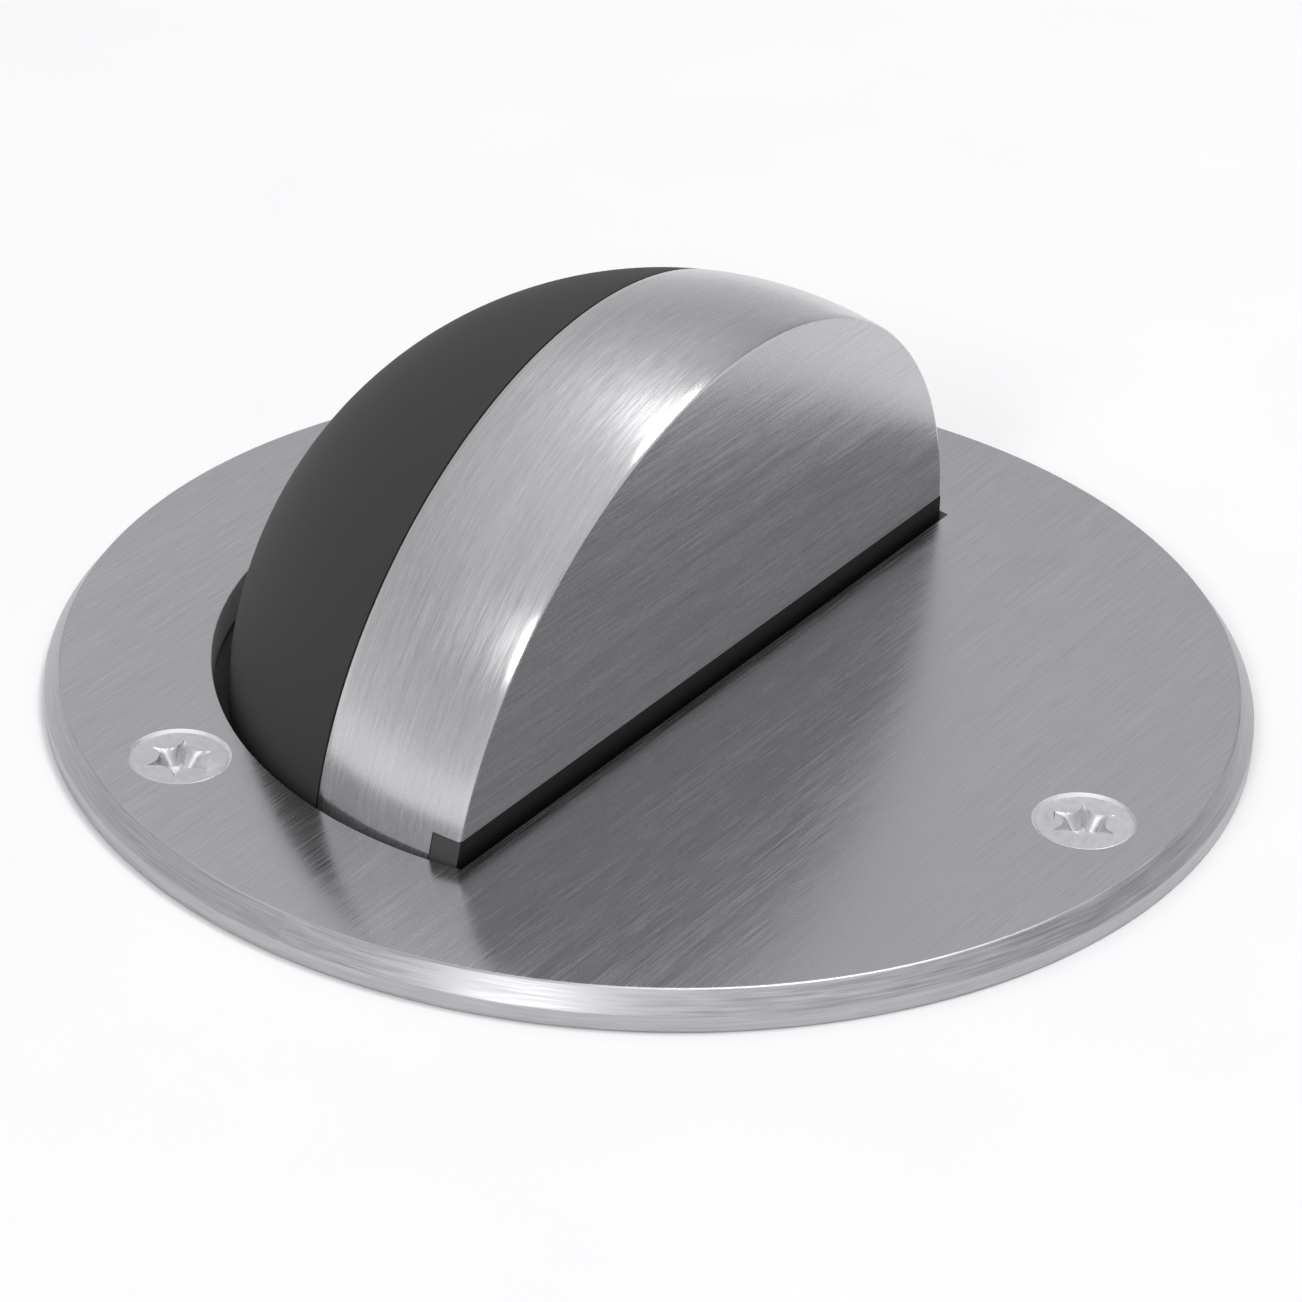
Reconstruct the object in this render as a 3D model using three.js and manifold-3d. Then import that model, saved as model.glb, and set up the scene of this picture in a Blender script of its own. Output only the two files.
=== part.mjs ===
// A fold-down floor door stop in millimetres: a round cover plate lies on the floor over a steel pot,
// and a quarter-ball stop stands up through the plate's D-shaped opening.
// +Z is up, X runs along the opening's straight edge, and the stop's flat face looks towards -Y.
// The origin is the centre of the plate's underside, so everything below z = 0 is sunk in the floor.
import * as THREE from "three";
import { mergeVertices } from "three/addons/utils/BufferGeometryUtils.js";
import Module from "manifold-3d";

const wasm = await Module();
wasm.setup();

// Facets of the round faces, and how far a cutting solid runs past the face it cuts
const PLATE_SEGMENTS = 96;
const RUBBER_SEGMENTS = 72;
const POT_SEGMENTS = 48;
const SHAFT_SEGMENTS = 24;
const HOLE_SEGMENTS = 16;
const BALL_STEPS = 6;
const OVERCUT = 1;

// Cover plate
const PLATE_R = 55;
const PLATE_T = 3.5;
const PLATE_BEVEL_WIDTH = 1.4;
const PLATE_BEVEL_HEIGHT = 1.9;
const OPENING_R = 39.9;
const OPENING_EDGE_Y = -7.5;
const UNDERCUT_EDGE_Y = -9.3;
const UNDERCUT_LAND = 0.5;

// Stop: a ball cut by a flat face, drawn folded, with its flat face level with the plate's top
const BALL_R = 39.5;
const BALL_DEPTH = 5;
const BALL_Z = PLATE_T - BALL_DEPTH;
const HEAD_DEPTH = 15.7;
const LIP_Y = -7;
const LIP_DEPTH = 8.4;
const REAR_Y = -2;
const HINGE_Y = -1;
const HINGE_Z = PLATE_T - 5.3;
const STAND_ANGLE = THREE.MathUtils.degToRad(94.5);
const JOINT_GAP = 0.1;

// Black tread strip let into the flat face
const STRIP_TOP_Y = 6.8;
const STRIP_END_Y = -5.6;
const STRIP_KEY_Y = 3.6;
const STRIP_KEY_DEPTH = 3;
const STRIP_DEPTH = 1.6;

// Rubber buffer and its core
const CORE_R = 31.4;
const RUBBER_INNER_R = CORE_R + JOINT_GAP;
const GROOVE_TOP_DEPTH = 18.5;
const GROOVE_WIDTH = 3;
const GROOVE_INSET = 2.5;
const CORE_SCREWS = [
  [-14, 8],
  [14, 8],
  [0, 18],
];
const CORE_SCREW_R = 2.4;
const CORE_SCREW_HEAD_R = 4;
const CORE_SCREW_HEAD_DEPTH = 21.5;
const CORE_SCREW_HEAD_HEIGHT = 4;
const CORE_SCREW_BITE = 7;
const CORE_SCREW_HEX = 4;
const CORE_SCREW_SPACE = 0.5;
const CORE_WELL_GAP = 0.2;
const CORE_STEPS = 5;
const BUFFER_STEPS = 9;

// Pivot
const JOURNAL_R = 2;
const BUSH_BORE_R = 2.06;
const BUSH_R = 2.6;
const BUSH_FROM_X = 31.3;
const BUSH_TO_X = 39.2;
const PIVOT_FROM_X = 31.7;
const PIVOT_TO_X = 47.3;
const PIVOT_HEX = 2;
const BLOCK_FROM_X = 41.8;
const BLOCK_TO_X = 47.8;
const BLOCK_HALF_LENGTH = 8;
const BLOCK_TOP = 1;
const BLOCK_BOTTOM = -6;
const BLOCK_SCREW_OFFSET = 5.2;
const POCKET_GAP = 0.3;

// Pot
const POT_INNER_R = 40.3;
const POT_WALL = 1.2;
const POT_DEPTH = 44;
const POT_CORNER_R = 16;
const POT_DRAIN_R = 4;
const POT_CORNER_STEPS = 5;

// Stop bar across the pot
const BAR_Y = -4.5;
const BAR_Z = PLATE_T - 13.7;
const BAR_R = 1.5;
const BAR_HALF_LENGTH = 40.9;
const SLEEVE_R = 2;
const SLEEVE_GAP = 0.05;
const SLEEVE_HALF_LENGTH = 30;

// Snap spring under the plate
const SPRING_THICKNESS = 0.6;
const SPRING_WIDTH = 28;
const SPRING_LINE = [
  [-25, -0.4],
  [-12, -0.4],
  [-10.7, -1.1],
  [-7.8, -4.1],
  [-8.9, -7.4],
];
const CLAMP_FROM_Y = -24;
const CLAMP_TO_Y = -14;
const CLAMP_THICKNESS = 3;
const SPRING_SCREW_X = 9;
const SPRING_SCREW_Y = -19;

// M3 cap screws of the blocks and the clamp
const CAP_SHANK_R = 1.45;
const CAP_HOLE_R = 1.6;
const CAP_HEAD_R = 2.6;
const CAP_HEAD_HEIGHT = 3;
const CAP_THREAD_TOP = 2.8;
const CAP_HOLE_TOP = 2.95;
const CAP_HEX = 2.5;

// Floor screws and plugs
const FLOOR_SCREWS = { front: -90, left: 150, right: 30 };
const FLOOR_SCREW_CIRCLE_R = 45.8;
const HEAD_R = 4.35;
const HEAD_SINK = 0.08;
const COUNTERSINK_R = 4.6;
const SCREW_HOLE_R = 2.6;
const SCREW_NECK_R = 1.9;
const THREAD_R = 2.2;
const THREAD_TOP = -3;
const THREAD_RUNOUT = 0.5;
const SCREW_LENGTH = 35;
const SCREW_POINT = 4;
const PLUG_R = 3.1;
const PLUG_BORE_R = 2.35;
const PLUG_TOP = -0.3;
const PLUG_BOTTOM = -34;
const PLUG_SLIT = 0.8;
const PLUG_SLIT_TOP = -8;
const STAR_R = 2.6;
const STAR_WAIST = 0.62;
const STAR_TURN = THREE.MathUtils.degToRad(30);
const STAR_DEPTH = 1.9;
const STAR_STEPS = 36;

// Materials
const brushedSteel = { color: 0x9a9a9c, roughness: 0.34, metalness: 1 };
const headSteel = { color: 0xa8a8aa, roughness: 0.3, metalness: 1 };
const potSteel = { color: 0x8c8d90, roughness: 0.42, metalness: 1 };
const boltSteel = { color: 0xc6c6c9, roughness: 0.3, metalness: 1 };
const springSteel = { color: 0x6f7277, roughness: 0.35, metalness: 1 };
const buffRubber = { color: 0x3c3c3d, roughness: 0.75, metalness: 0 };
const stripRubber = { color: 0x1b1b1c, roughness: 0.55, metalness: 0 };
const coreNylon = { color: 0x2a2b2d, roughness: 0.6, metalness: 0 };
const bushPolymer = { color: 0x8a7f5a, roughness: 0.5, metalness: 0 };
const plugNylon = { color: 0xb9b8b2, roughness: 0.6, metalness: 0 };

// Solids

function solidOf(geometry) {
  const bare = new THREE.BufferGeometry();
  bare.setAttribute("position", geometry.getAttribute("position"));
  if (geometry.index) bare.setIndex(geometry.index);
  const merged = mergeVertices(bare, 1e-4);
  return new wasm.Manifold(
    new wasm.Mesh({
      numProp: 3,
      vertProperties: new Float32Array(merged.attributes.position.array),
      triVerts: new Uint32Array(merged.index.array),
    }),
  );
}

function geometryOf(solid) {
  const mesh = solid.getMesh();
  const geometry = new THREE.BufferGeometry();
  geometry.setAttribute("position", new THREE.BufferAttribute(mesh.vertProperties, 3));
  geometry.setIndex(new THREE.BufferAttribute(mesh.triVerts, 1));
  const flat = geometry.toNonIndexed();
  flat.computeVertexNormals();
  return flat;
}

// A profile of [radius, height] pairs, listed anticlockwise, spun about the Z axis.
function spun(profile, segments) {
  const points = profile.map(([r, z]) => new THREE.Vector2(r, z));
  return new THREE.LatheGeometry(points, segments).rotateX(Math.PI / 2);
}

// The same, spun about the line along X through y, z. The heights become distances from the middle
// plane, towards +X for side 1 and towards -X for side -1.
function spunAlongX(profile, segments, side, y, z) {
  return spun(profile, segments)
    .rotateY((side * Math.PI) / 2)
    .translate(0, y, z);
}

function ring(fromR, toR, fromZ, toZ) {
  return [
    [fromR, fromZ],
    [toR, fromZ],
    [toR, toZ],
    [fromR, toZ],
    [fromR, fromZ],
  ];
}

function rod(r, fromZ, toZ) {
  return [
    [0, fromZ],
    [r, fromZ],
    [r, toZ],
    [0, toZ],
  ];
}

function box(from, to) {
  const size = to.map((value, i) => value - from[i]);
  const middle = to.map((value, i) => (value + from[i]) / 2);
  return new THREE.BoxGeometry(...size).translate(...middle);
}

// A closed outline of [y, z] pairs drawn out along X to both sides of the middle.
function drawnAlongX(outline, halfLength) {
  const shape = new THREE.Shape(outline.map(([y, z]) => new THREE.Vector2(y, z)));
  const geometry = new THREE.ExtrudeGeometry(shape, {
    depth: 2 * halfLength,
    bevelEnabled: false,
  });
  return geometry
    .translate(0, 0, -halfLength)
    .rotateY(Math.PI / 2)
    .rotateX(Math.PI / 2);
}

// Points of a circular arc in a profile, its angles measured from the outward radius.
function arc(centreR, centreZ, radius, fromDegrees, toDegrees, steps) {
  return Array.from({ length: steps + 1 }, (_, i) => {
    const turn = fromDegrees + ((toDegrees - fromDegrees) * i) / steps;
    const angle = THREE.MathUtils.degToRad(turn);
    return [centreR + radius * Math.cos(angle), centreZ + radius * Math.sin(angle)];
  });
}

function latitude(radius, z) {
  return THREE.MathUtils.radToDeg(Math.asin((z - BALL_Z) / radius));
}

const model = new THREE.Group();
const stop = new THREE.Group();
stop.position.set(0, HINGE_Y, HINGE_Z);
stop.rotation.x = STAND_ANGLE;
model.add(stop);

function addTo(group, name, geometry, look) {
  const mesh = new THREE.Mesh(geometry, new THREE.MeshStandardMaterial(look));
  mesh.name = name;
  group.add(mesh);
}

function addFixed(name, solid, look) {
  addTo(model, name, geometryOf(solid), look);
}

// A piece of the stop is drawn folded and turns up with the group about the pivot.
function addFolding(name, solid, look) {
  addTo(stop, name, geometryOf(solid).translate(0, -HINGE_Y, -HINGE_Z), look);
}

// Cover plate

function coneHole(x, y) {
  const profile = [
    [0, -OVERCUT],
    [SCREW_HOLE_R, -OVERCUT],
    [SCREW_HOLE_R, PLATE_T - COUNTERSINK_R + SCREW_HOLE_R],
    [COUNTERSINK_R + OVERCUT, PLATE_T + OVERCUT],
    [0, PLATE_T + OVERCUT],
  ];
  return solidOf(spun(profile, SHAFT_SEGMENTS).translate(x, y, 0));
}

function floorScrewPlace(degrees) {
  const angle = THREE.MathUtils.degToRad(degrees);
  return [FLOOR_SCREW_CIRCLE_R * Math.cos(angle), FLOOR_SCREW_CIRCLE_R * Math.sin(angle)];
}

function openingShape() {
  const halfAngle = Math.asin(OPENING_EDGE_Y / OPENING_R);
  const shape = new THREE.Shape();
  shape.absarc(0, 0, OPENING_R, halfAngle, Math.PI - halfAngle, false);
  shape.closePath();
  return shape;
}

function capHole(x, y) {
  return solidOf(spun(rod(CAP_HOLE_R, -OVERCUT, CAP_HOLE_TOP), HOLE_SEGMENTS).translate(x, y, 0));
}

function makePlate() {
  const disc = [
    [0, 0],
    [PLATE_R, 0],
    [PLATE_R, PLATE_T - PLATE_BEVEL_HEIGHT],
    [PLATE_R - PLATE_BEVEL_WIDTH, PLATE_T],
    [0, PLATE_T],
  ];
  const opening = new THREE.ExtrudeGeometry(openingShape(), {
    depth: PLATE_T + 2 * OVERCUT,
    bevelEnabled: false,
    curveSegments: PLATE_SEGMENTS / 2,
  }).translate(0, 0, -OVERCUT);
  const undercut = [
    [OPENING_EDGE_Y, PLATE_T - UNDERCUT_LAND],
    [UNDERCUT_EDGE_Y, 0],
    [UNDERCUT_EDGE_Y, -OVERCUT],
    [OPENING_EDGE_Y + OVERCUT, -OVERCUT],
    [OPENING_EDGE_Y + OVERCUT, PLATE_T - UNDERCUT_LAND],
  ];
  const edgeHalfLength = Math.sqrt(OPENING_R ** 2 - UNDERCUT_EDGE_Y ** 2);
  let plate = solidOf(spun(disc, PLATE_SEGMENTS))
    .subtract(solidOf(opening))
    .subtract(solidOf(drawnAlongX(undercut, edgeHalfLength)));
  for (const degrees of Object.values(FLOOR_SCREWS)) {
    plate = plate.subtract(coneHole(...floorScrewPlace(degrees)));
  }
  for (const side of [-1, 1]) {
    const xs = [side * (BLOCK_FROM_X - POCKET_GAP), side * (BLOCK_TO_X + POCKET_GAP)];
    const halfLength = BLOCK_HALF_LENGTH + POCKET_GAP;
    const pocket = box(
      [Math.min(...xs), HINGE_Y - halfLength, -OVERCUT],
      [Math.max(...xs), HINGE_Y + halfLength, BLOCK_TOP + JOINT_GAP],
    );
    const groove = rod(JOURNAL_R + POCKET_GAP, OPENING_R - 2 * OVERCUT, BLOCK_FROM_X);
    plate = plate
      .subtract(solidOf(pocket))
      .subtract(solidOf(spunAlongX(groove, HOLE_SEGMENTS, side, HINGE_Y, HINGE_Z)));
    for (const way of [-1, 1]) {
      const x = (side * (BLOCK_FROM_X + BLOCK_TO_X)) / 2;
      plate = plate.subtract(capHole(x, HINGE_Y + way * BLOCK_SCREW_OFFSET));
    }
    plate = plate.subtract(capHole(side * SPRING_SCREW_X, SPRING_SCREW_Y));
  }
  return plate;
}

addFixed("cover_plate", makePlate(), brushedSteel);

// Floor screws: countersunk, with a six-lobe recess, and their nylon plugs

function starShape() {
  const shape = new THREE.Shape();
  for (let i = 0; i < STAR_STEPS; i += 1) {
    const angle = (2 * Math.PI * i) / STAR_STEPS;
    const swell = (1 + Math.cos(6 * angle)) / 2;
    const r = STAR_R * (STAR_WAIST + (1 - STAR_WAIST) * swell);
    const x = r * Math.cos(angle + STAR_TURN);
    const y = r * Math.sin(angle + STAR_TURN);
    if (i === 0) shape.moveTo(x, y);
    else shape.lineTo(x, y);
  }
  shape.closePath();
  return shape;
}

function floorScrewProfile() {
  const headTop = PLATE_T - HEAD_SINK;
  const neckZ = headTop - HEAD_R + SCREW_NECK_R;
  const tip = PLATE_T - SCREW_LENGTH;
  return [
    [0, tip],
    [THREAD_R, tip + SCREW_POINT],
    [THREAD_R, THREAD_TOP],
    [SCREW_NECK_R, THREAD_TOP + THREAD_RUNOUT],
    [SCREW_NECK_R, neckZ],
    [HEAD_R, headTop],
    [0, headTop],
  ];
}

function makeFloorScrew(x, y) {
  const recess = new THREE.ExtrudeGeometry(starShape(), {
    depth: STAR_DEPTH + OVERCUT,
    bevelEnabled: false,
  }).translate(0, 0, PLATE_T - STAR_DEPTH);
  return solidOf(spun(floorScrewProfile(), SHAFT_SEGMENTS))
    .subtract(solidOf(recess))
    .translate([x, y, 0]);
}

function makeFloorPlug(x, y) {
  const sleeve = spun(ring(PLUG_BORE_R, PLUG_R, PLUG_BOTTOM, PLUG_TOP), HOLE_SEGMENTS);
  const reach = PLUG_R + OVERCUT;
  const slit = box(
    [-reach, -PLUG_SLIT / 2, PLUG_BOTTOM - OVERCUT],
    [reach, PLUG_SLIT / 2, PLUG_SLIT_TOP],
  );
  return solidOf(sleeve).subtract(solidOf(slit)).translate([x, y, 0]);
}

for (const [place, degrees] of Object.entries(FLOOR_SCREWS)) {
  const [x, y] = floorScrewPlace(degrees);
  addFixed("floor_screw_" + place, makeFloorScrew(x, y), boltSteel);
  addFixed("floor_plug_" + place, makeFloorPlug(x, y), plugNylon);
}

// Pot, with notches for the pivot screws and holes for the stop bar

function makePot() {
  const straightEnd = POT_CORNER_R - POT_DEPTH;
  const cornerR = POT_INNER_R - POT_CORNER_R;
  const profile = [
    [POT_INNER_R, 0],
    ...arc(cornerR, straightEnd, POT_CORNER_R, 0, -90, POT_CORNER_STEPS),
    [POT_DRAIN_R, -POT_DEPTH],
    [POT_DRAIN_R, -POT_DEPTH - POT_WALL],
    ...arc(cornerR, straightEnd, POT_CORNER_R + POT_WALL, -90, 0, POT_CORNER_STEPS),
    [POT_INNER_R + POT_WALL, 0],
    [POT_INNER_R, 0],
  ];
  let pot = solidOf(spun(profile, POT_SEGMENTS));
  const notchR = JOURNAL_R + POCKET_GAP;
  const fromX = POT_INNER_R - 2 * OVERCUT;
  const toX = POT_INNER_R + POT_WALL + OVERCUT;
  for (const side of [-1, 1]) {
    const notch = spunAlongX(rod(notchR, fromX, toX), HOLE_SEGMENTS, side, HINGE_Y, HINGE_Z);
    const barHole = rod(BAR_R + POCKET_GAP, fromX, toX);
    pot = pot
      .subtract(solidOf(notch))
      .subtract(solidOf(spunAlongX(barHole, HOLE_SEGMENTS, side, BAR_Y, BAR_Z)));
  }
  const slot = box([-toX, HINGE_Y - notchR, HINGE_Z], [toX, HINGE_Y + notchR, OVERCUT]);
  return pot.subtract(solidOf(slot));
}

addFixed("recess_pot", makePot(), potSteel);

// Stop bar with its rubber sleeve

function alongBar(profile) {
  return solidOf(spunAlongX(profile, SHAFT_SEGMENTS, 1, BAR_Y, BAR_Z));
}

const sleeveWall = ring(BAR_R + SLEEVE_GAP, SLEEVE_R, -SLEEVE_HALF_LENGTH, SLEEVE_HALF_LENGTH);
addFixed("stop_bar", alongBar(rod(BAR_R, -BAR_HALF_LENGTH, BAR_HALF_LENGTH)), boltSteel);
addFixed("stop_sleeve", alongBar(sleeveWall), stripRubber);

// Bearing blocks, pivot screws and the cap screws that hold the blocks

function hexSocket(acrossFlats, fromZ, toZ) {
  return spun(rod(acrossFlats / Math.sqrt(3), fromZ, toZ), 6);
}

// A cap screw that points up, its head's seat at seatZ.
function makeCapScrew(x, y, seatZ) {
  const profile = [
    [0, seatZ - CAP_HEAD_HEIGHT],
    [CAP_HEAD_R, seatZ - CAP_HEAD_HEIGHT],
    [CAP_HEAD_R, seatZ],
    [CAP_SHANK_R, seatZ],
    [CAP_SHANK_R, CAP_THREAD_TOP],
    [0, CAP_THREAD_TOP],
  ];
  const headZ = seatZ - CAP_HEAD_HEIGHT;
  const socket = hexSocket(CAP_HEX, headZ - OVERCUT, headZ + CAP_HEAD_HEIGHT / 2);
  return solidOf(spun(profile, HOLE_SEGMENTS)).subtract(solidOf(socket)).translate([x, y, 0]);
}

function makeBlock(side) {
  const xs = [side * BLOCK_FROM_X, side * BLOCK_TO_X];
  const body = box(
    [Math.min(...xs), HINGE_Y - BLOCK_HALF_LENGTH, BLOCK_BOTTOM],
    [Math.max(...xs), HINGE_Y + BLOCK_HALF_LENGTH, BLOCK_TOP],
  );
  const bore = rod(JOURNAL_R + JOINT_GAP, BLOCK_FROM_X - OVERCUT, BLOCK_TO_X + OVERCUT);
  const cut = spunAlongX(bore, SHAFT_SEGMENTS, side, HINGE_Y, HINGE_Z);
  let block = solidOf(body).subtract(solidOf(cut));
  const x = (side * (BLOCK_FROM_X + BLOCK_TO_X)) / 2;
  for (const way of [-1, 1]) {
    const y = HINGE_Y + way * BLOCK_SCREW_OFFSET;
    const from = BLOCK_BOTTOM - OVERCUT;
    const shank = rod(CAP_HOLE_R, from, BLOCK_TOP + OVERCUT);
    const seat = rod(CAP_HEAD_R + JOINT_GAP, from, BLOCK_BOTTOM + CAP_HEAD_HEIGHT);
    block = block
      .subtract(solidOf(spun(shank, HOLE_SEGMENTS).translate(x, y, 0)))
      .subtract(solidOf(spun(seat, HOLE_SEGMENTS).translate(x, y, 0)));
  }
  return block;
}

function makePivotScrew(side) {
  const shank = rod(JOURNAL_R, PIVOT_FROM_X, PIVOT_TO_X);
  const pin = spunAlongX(shank, SHAFT_SEGMENTS, side, HINGE_Y, HINGE_Z);
  const socket = hexSocket(PIVOT_HEX, PIVOT_TO_X - PIVOT_HEX, PIVOT_TO_X + OVERCUT)
    .rotateY((side * Math.PI) / 2)
    .translate(0, HINGE_Y, HINGE_Z);
  return solidOf(pin).subtract(solidOf(socket));
}

const SIDES = { left: -1, right: 1 };
let blockScrewCount = 0;
for (const [place, side] of Object.entries(SIDES)) {
  addFixed("bearing_block_" + place, makeBlock(side), potSteel);
  addFixed("pivot_screw_" + place, makePivotScrew(side), boltSteel);
  const x = (side * (BLOCK_FROM_X + BLOCK_TO_X)) / 2;
  const seatZ = BLOCK_BOTTOM + CAP_HEAD_HEIGHT - JOINT_GAP;
  for (const way of [-1, 1]) {
    blockScrewCount += 1;
    const screw = makeCapScrew(x, HINGE_Y + way * BLOCK_SCREW_OFFSET, seatZ);
    addFixed("block_screw_" + blockScrewCount, screw, boltSteel);
  }
}

// Snap spring: a bent leaf whose nose the stop's lip has to push past, and its clamp

function leafOutline(line, thickness) {
  const near = [];
  const far = [];
  line.forEach(([y, z], i) => {
    const [y0, z0] = line[Math.max(i - 1, 0)];
    const [y1, z1] = line[Math.min(i + 1, line.length - 1)];
    const half = thickness / 2 / Math.hypot(y1 - y0, z1 - z0);
    const acrossY = (z0 - z1) * half;
    const acrossZ = (y1 - y0) * half;
    near.push([y + acrossY, z + acrossZ]);
    far.unshift([y - acrossY, z - acrossZ]);
  });
  return [...far, ...near];
}

function makeSpring() {
  const leaf = leafOutline(SPRING_LINE, SPRING_THICKNESS);
  let spring = solidOf(drawnAlongX(leaf, SPRING_WIDTH / 2));
  for (const side of [-1, 1]) {
    spring = spring.subtract(capHole(side * SPRING_SCREW_X, SPRING_SCREW_Y));
  }
  return spring;
}

const clampTop = SPRING_LINE[0][1] - SPRING_THICKNESS / 2 - JOINT_GAP;
function makeClamp() {
  let clamp = solidOf(
    box(
      [-SPRING_WIDTH / 2, CLAMP_FROM_Y, clampTop - CLAMP_THICKNESS],
      [SPRING_WIDTH / 2, CLAMP_TO_Y, clampTop],
    ),
  );
  for (const side of [-1, 1]) {
    const shank = rod(CAP_HOLE_R, clampTop - CLAMP_THICKNESS - OVERCUT, clampTop + OVERCUT);
    const hole = spun(shank, HOLE_SEGMENTS).translate(side * SPRING_SCREW_X, SPRING_SCREW_Y, 0);
    clamp = clamp.subtract(solidOf(hole));
  }
  return clamp;
}

addFixed("snap_spring", makeSpring(), springSteel);
addFixed("spring_clamp", makeClamp(), potSteel);
[-1, 1].forEach((side, i) => {
  const seatZ = clampTop - CLAMP_THICKNESS - JOINT_GAP;
  const screw = makeCapScrew(side * SPRING_SCREW_X, SPRING_SCREW_Y, seatZ);
  addFixed("spring_screw_" + (i + 1), screw, boltSteel);
});

// Stop head: a thick slice of the ball, with the lip that closes the opening's straight edge

function ballSlice(radius, fromZ, toZ) {
  const profile = [
    [0, fromZ],
    ...arc(0, BALL_Z, radius, latitude(radius, fromZ), latitude(radius, toZ), BALL_STEPS),
    [0, toZ],
  ];
  return solidOf(spun(profile, PLATE_SEGMENTS));
}

function below(y, topZ) {
  const far = 2 * BALL_R;
  return solidOf(box([-far, -far, -far], [far, y, topZ]));
}

// The strip's section, grown by a gap for the rebate that it lies in.
function stripOutline(gap) {
  const top = PLATE_T + (gap ? OVERCUT : 0);
  return [
    [STRIP_TOP_Y + gap, top],
    [STRIP_END_Y - gap, top],
    [STRIP_END_Y - gap, PLATE_T - STRIP_DEPTH - gap],
    [STRIP_KEY_Y - gap, PLATE_T - STRIP_DEPTH - gap],
    [STRIP_KEY_Y - gap, PLATE_T - STRIP_KEY_DEPTH - gap],
    [STRIP_TOP_Y + gap, PLATE_T - STRIP_KEY_DEPTH - gap],
  ];
}

const headBottom = PLATE_T - HEAD_DEPTH;

function makeHead() {
  let head = ballSlice(BALL_R, headBottom, PLATE_T)
    .subtract(below(LIP_Y, BALL_R))
    .subtract(below(REAR_Y, PLATE_T - LIP_DEPTH))
    .subtract(solidOf(drawnAlongX(stripOutline(JOINT_GAP / 2), BALL_R + OVERCUT)));
  for (const side of [-1, 1]) {
    const seat = rod(BUSH_R + JOINT_GAP / 2, BUSH_FROM_X - JOINT_GAP, BALL_R + OVERCUT);
    head = head.subtract(solidOf(spunAlongX(seat, SHAFT_SEGMENTS, side, HINGE_Y, HINGE_Z)));
  }
  for (const [x, y] of CORE_SCREWS) {
    const tapTop = headBottom + CORE_SCREW_BITE + CORE_SCREW_SPACE;
    const thread = rod(CORE_SCREW_R + JOINT_GAP, headBottom - OVERCUT, tapTop);
    head = head.subtract(solidOf(spun(thread, HOLE_SEGMENTS).translate(x, y, 0)));
  }
  return head;
}

addFolding("stop_head", makeHead(), headSteel);

const stripBlank = solidOf(drawnAlongX(stripOutline(0), BALL_R));
const stripEnds = ballSlice(BALL_R - JOINT_GAP / 2, headBottom, PLATE_T);
addFolding("tread_strip", stripBlank.intersect(stripEnds), stripRubber);

// Bushes of the pivot, pressed into the head

for (const [place, side] of Object.entries(SIDES)) {
  const wall = ring(BUSH_BORE_R, BUSH_R, BUSH_FROM_X, BUSH_TO_X);
  const bush = solidOf(spunAlongX(wall, SHAFT_SEGMENTS, side, HINGE_Y, HINGE_Z));
  addFolding("pivot_bush_" + place, bush, bushPolymer);
}

// Buffer core, and the rubber stretched over it with a rib in the core's groove

const coreTop = headBottom - JOINT_GAP;

// Half of the buffer's inner line, from the pole up to the core's flat top.
function coreLine(radius, gap) {
  const grooveTop = PLATE_T - GROOVE_TOP_DEPTH + gap;
  const grooveBottom = grooveTop - GROOVE_WIDTH - 2 * gap;
  const lower = arc(0, BALL_Z, radius, -90, latitude(radius, grooveBottom), CORE_STEPS);
  const upper = arc(0, BALL_Z, radius, latitude(radius, grooveTop), latitude(radius, coreTop), 1);
  const floorR = lower.at(-1)[0] - GROOVE_INSET;
  return [...lower, [floorR, grooveBottom], [floorR, grooveTop], ...upper];
}

function makeCore() {
  const profile = [...coreLine(CORE_R, 0), [0, coreTop]];
  let core = solidOf(spun(profile, POT_SEGMENTS)).subtract(below(REAR_Y, BALL_R));
  const seatZ = PLATE_T - CORE_SCREW_HEAD_DEPTH;
  for (const [x, y] of CORE_SCREWS) {
    const hole = rod(CORE_SCREW_R + JOINT_GAP, seatZ - OVERCUT, coreTop + OVERCUT);
    const well = rod(CORE_SCREW_HEAD_R + CORE_WELL_GAP, -2 * BALL_R, seatZ);
    core = core
      .subtract(solidOf(spun(hole, HOLE_SEGMENTS).translate(x, y, 0)))
      .subtract(solidOf(spun(well, SHAFT_SEGMENTS).translate(x, y, 0)));
  }
  return core;
}

function makeRubber() {
  const inner = coreLine(RUBBER_INNER_R, -JOINT_GAP);
  const outer = arc(0, BALL_Z, BALL_R, latitude(BALL_R, coreTop), -90, BUFFER_STEPS);
  const profile = [...inner, ...outer].reverse();
  return solidOf(spun(profile, RUBBER_SEGMENTS)).subtract(below(REAR_Y, BALL_R));
}

function makeCoreScrew(x, y) {
  const seatZ = PLATE_T - CORE_SCREW_HEAD_DEPTH - JOINT_GAP;
  const headZ = seatZ - CORE_SCREW_HEAD_HEIGHT;
  const profile = [
    [0, headZ],
    [CORE_SCREW_HEAD_R, headZ],
    [CORE_SCREW_HEAD_R, seatZ],
    [CORE_SCREW_R, seatZ],
    [CORE_SCREW_R, headBottom + CORE_SCREW_BITE],
    [0, headBottom + CORE_SCREW_BITE],
  ];
  const socket = hexSocket(CORE_SCREW_HEX, headZ - OVERCUT, headZ + CORE_SCREW_HEAD_HEIGHT / 2);
  return solidOf(spun(profile, SHAFT_SEGMENTS)).subtract(solidOf(socket)).translate([x, y, 0]);
}

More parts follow.
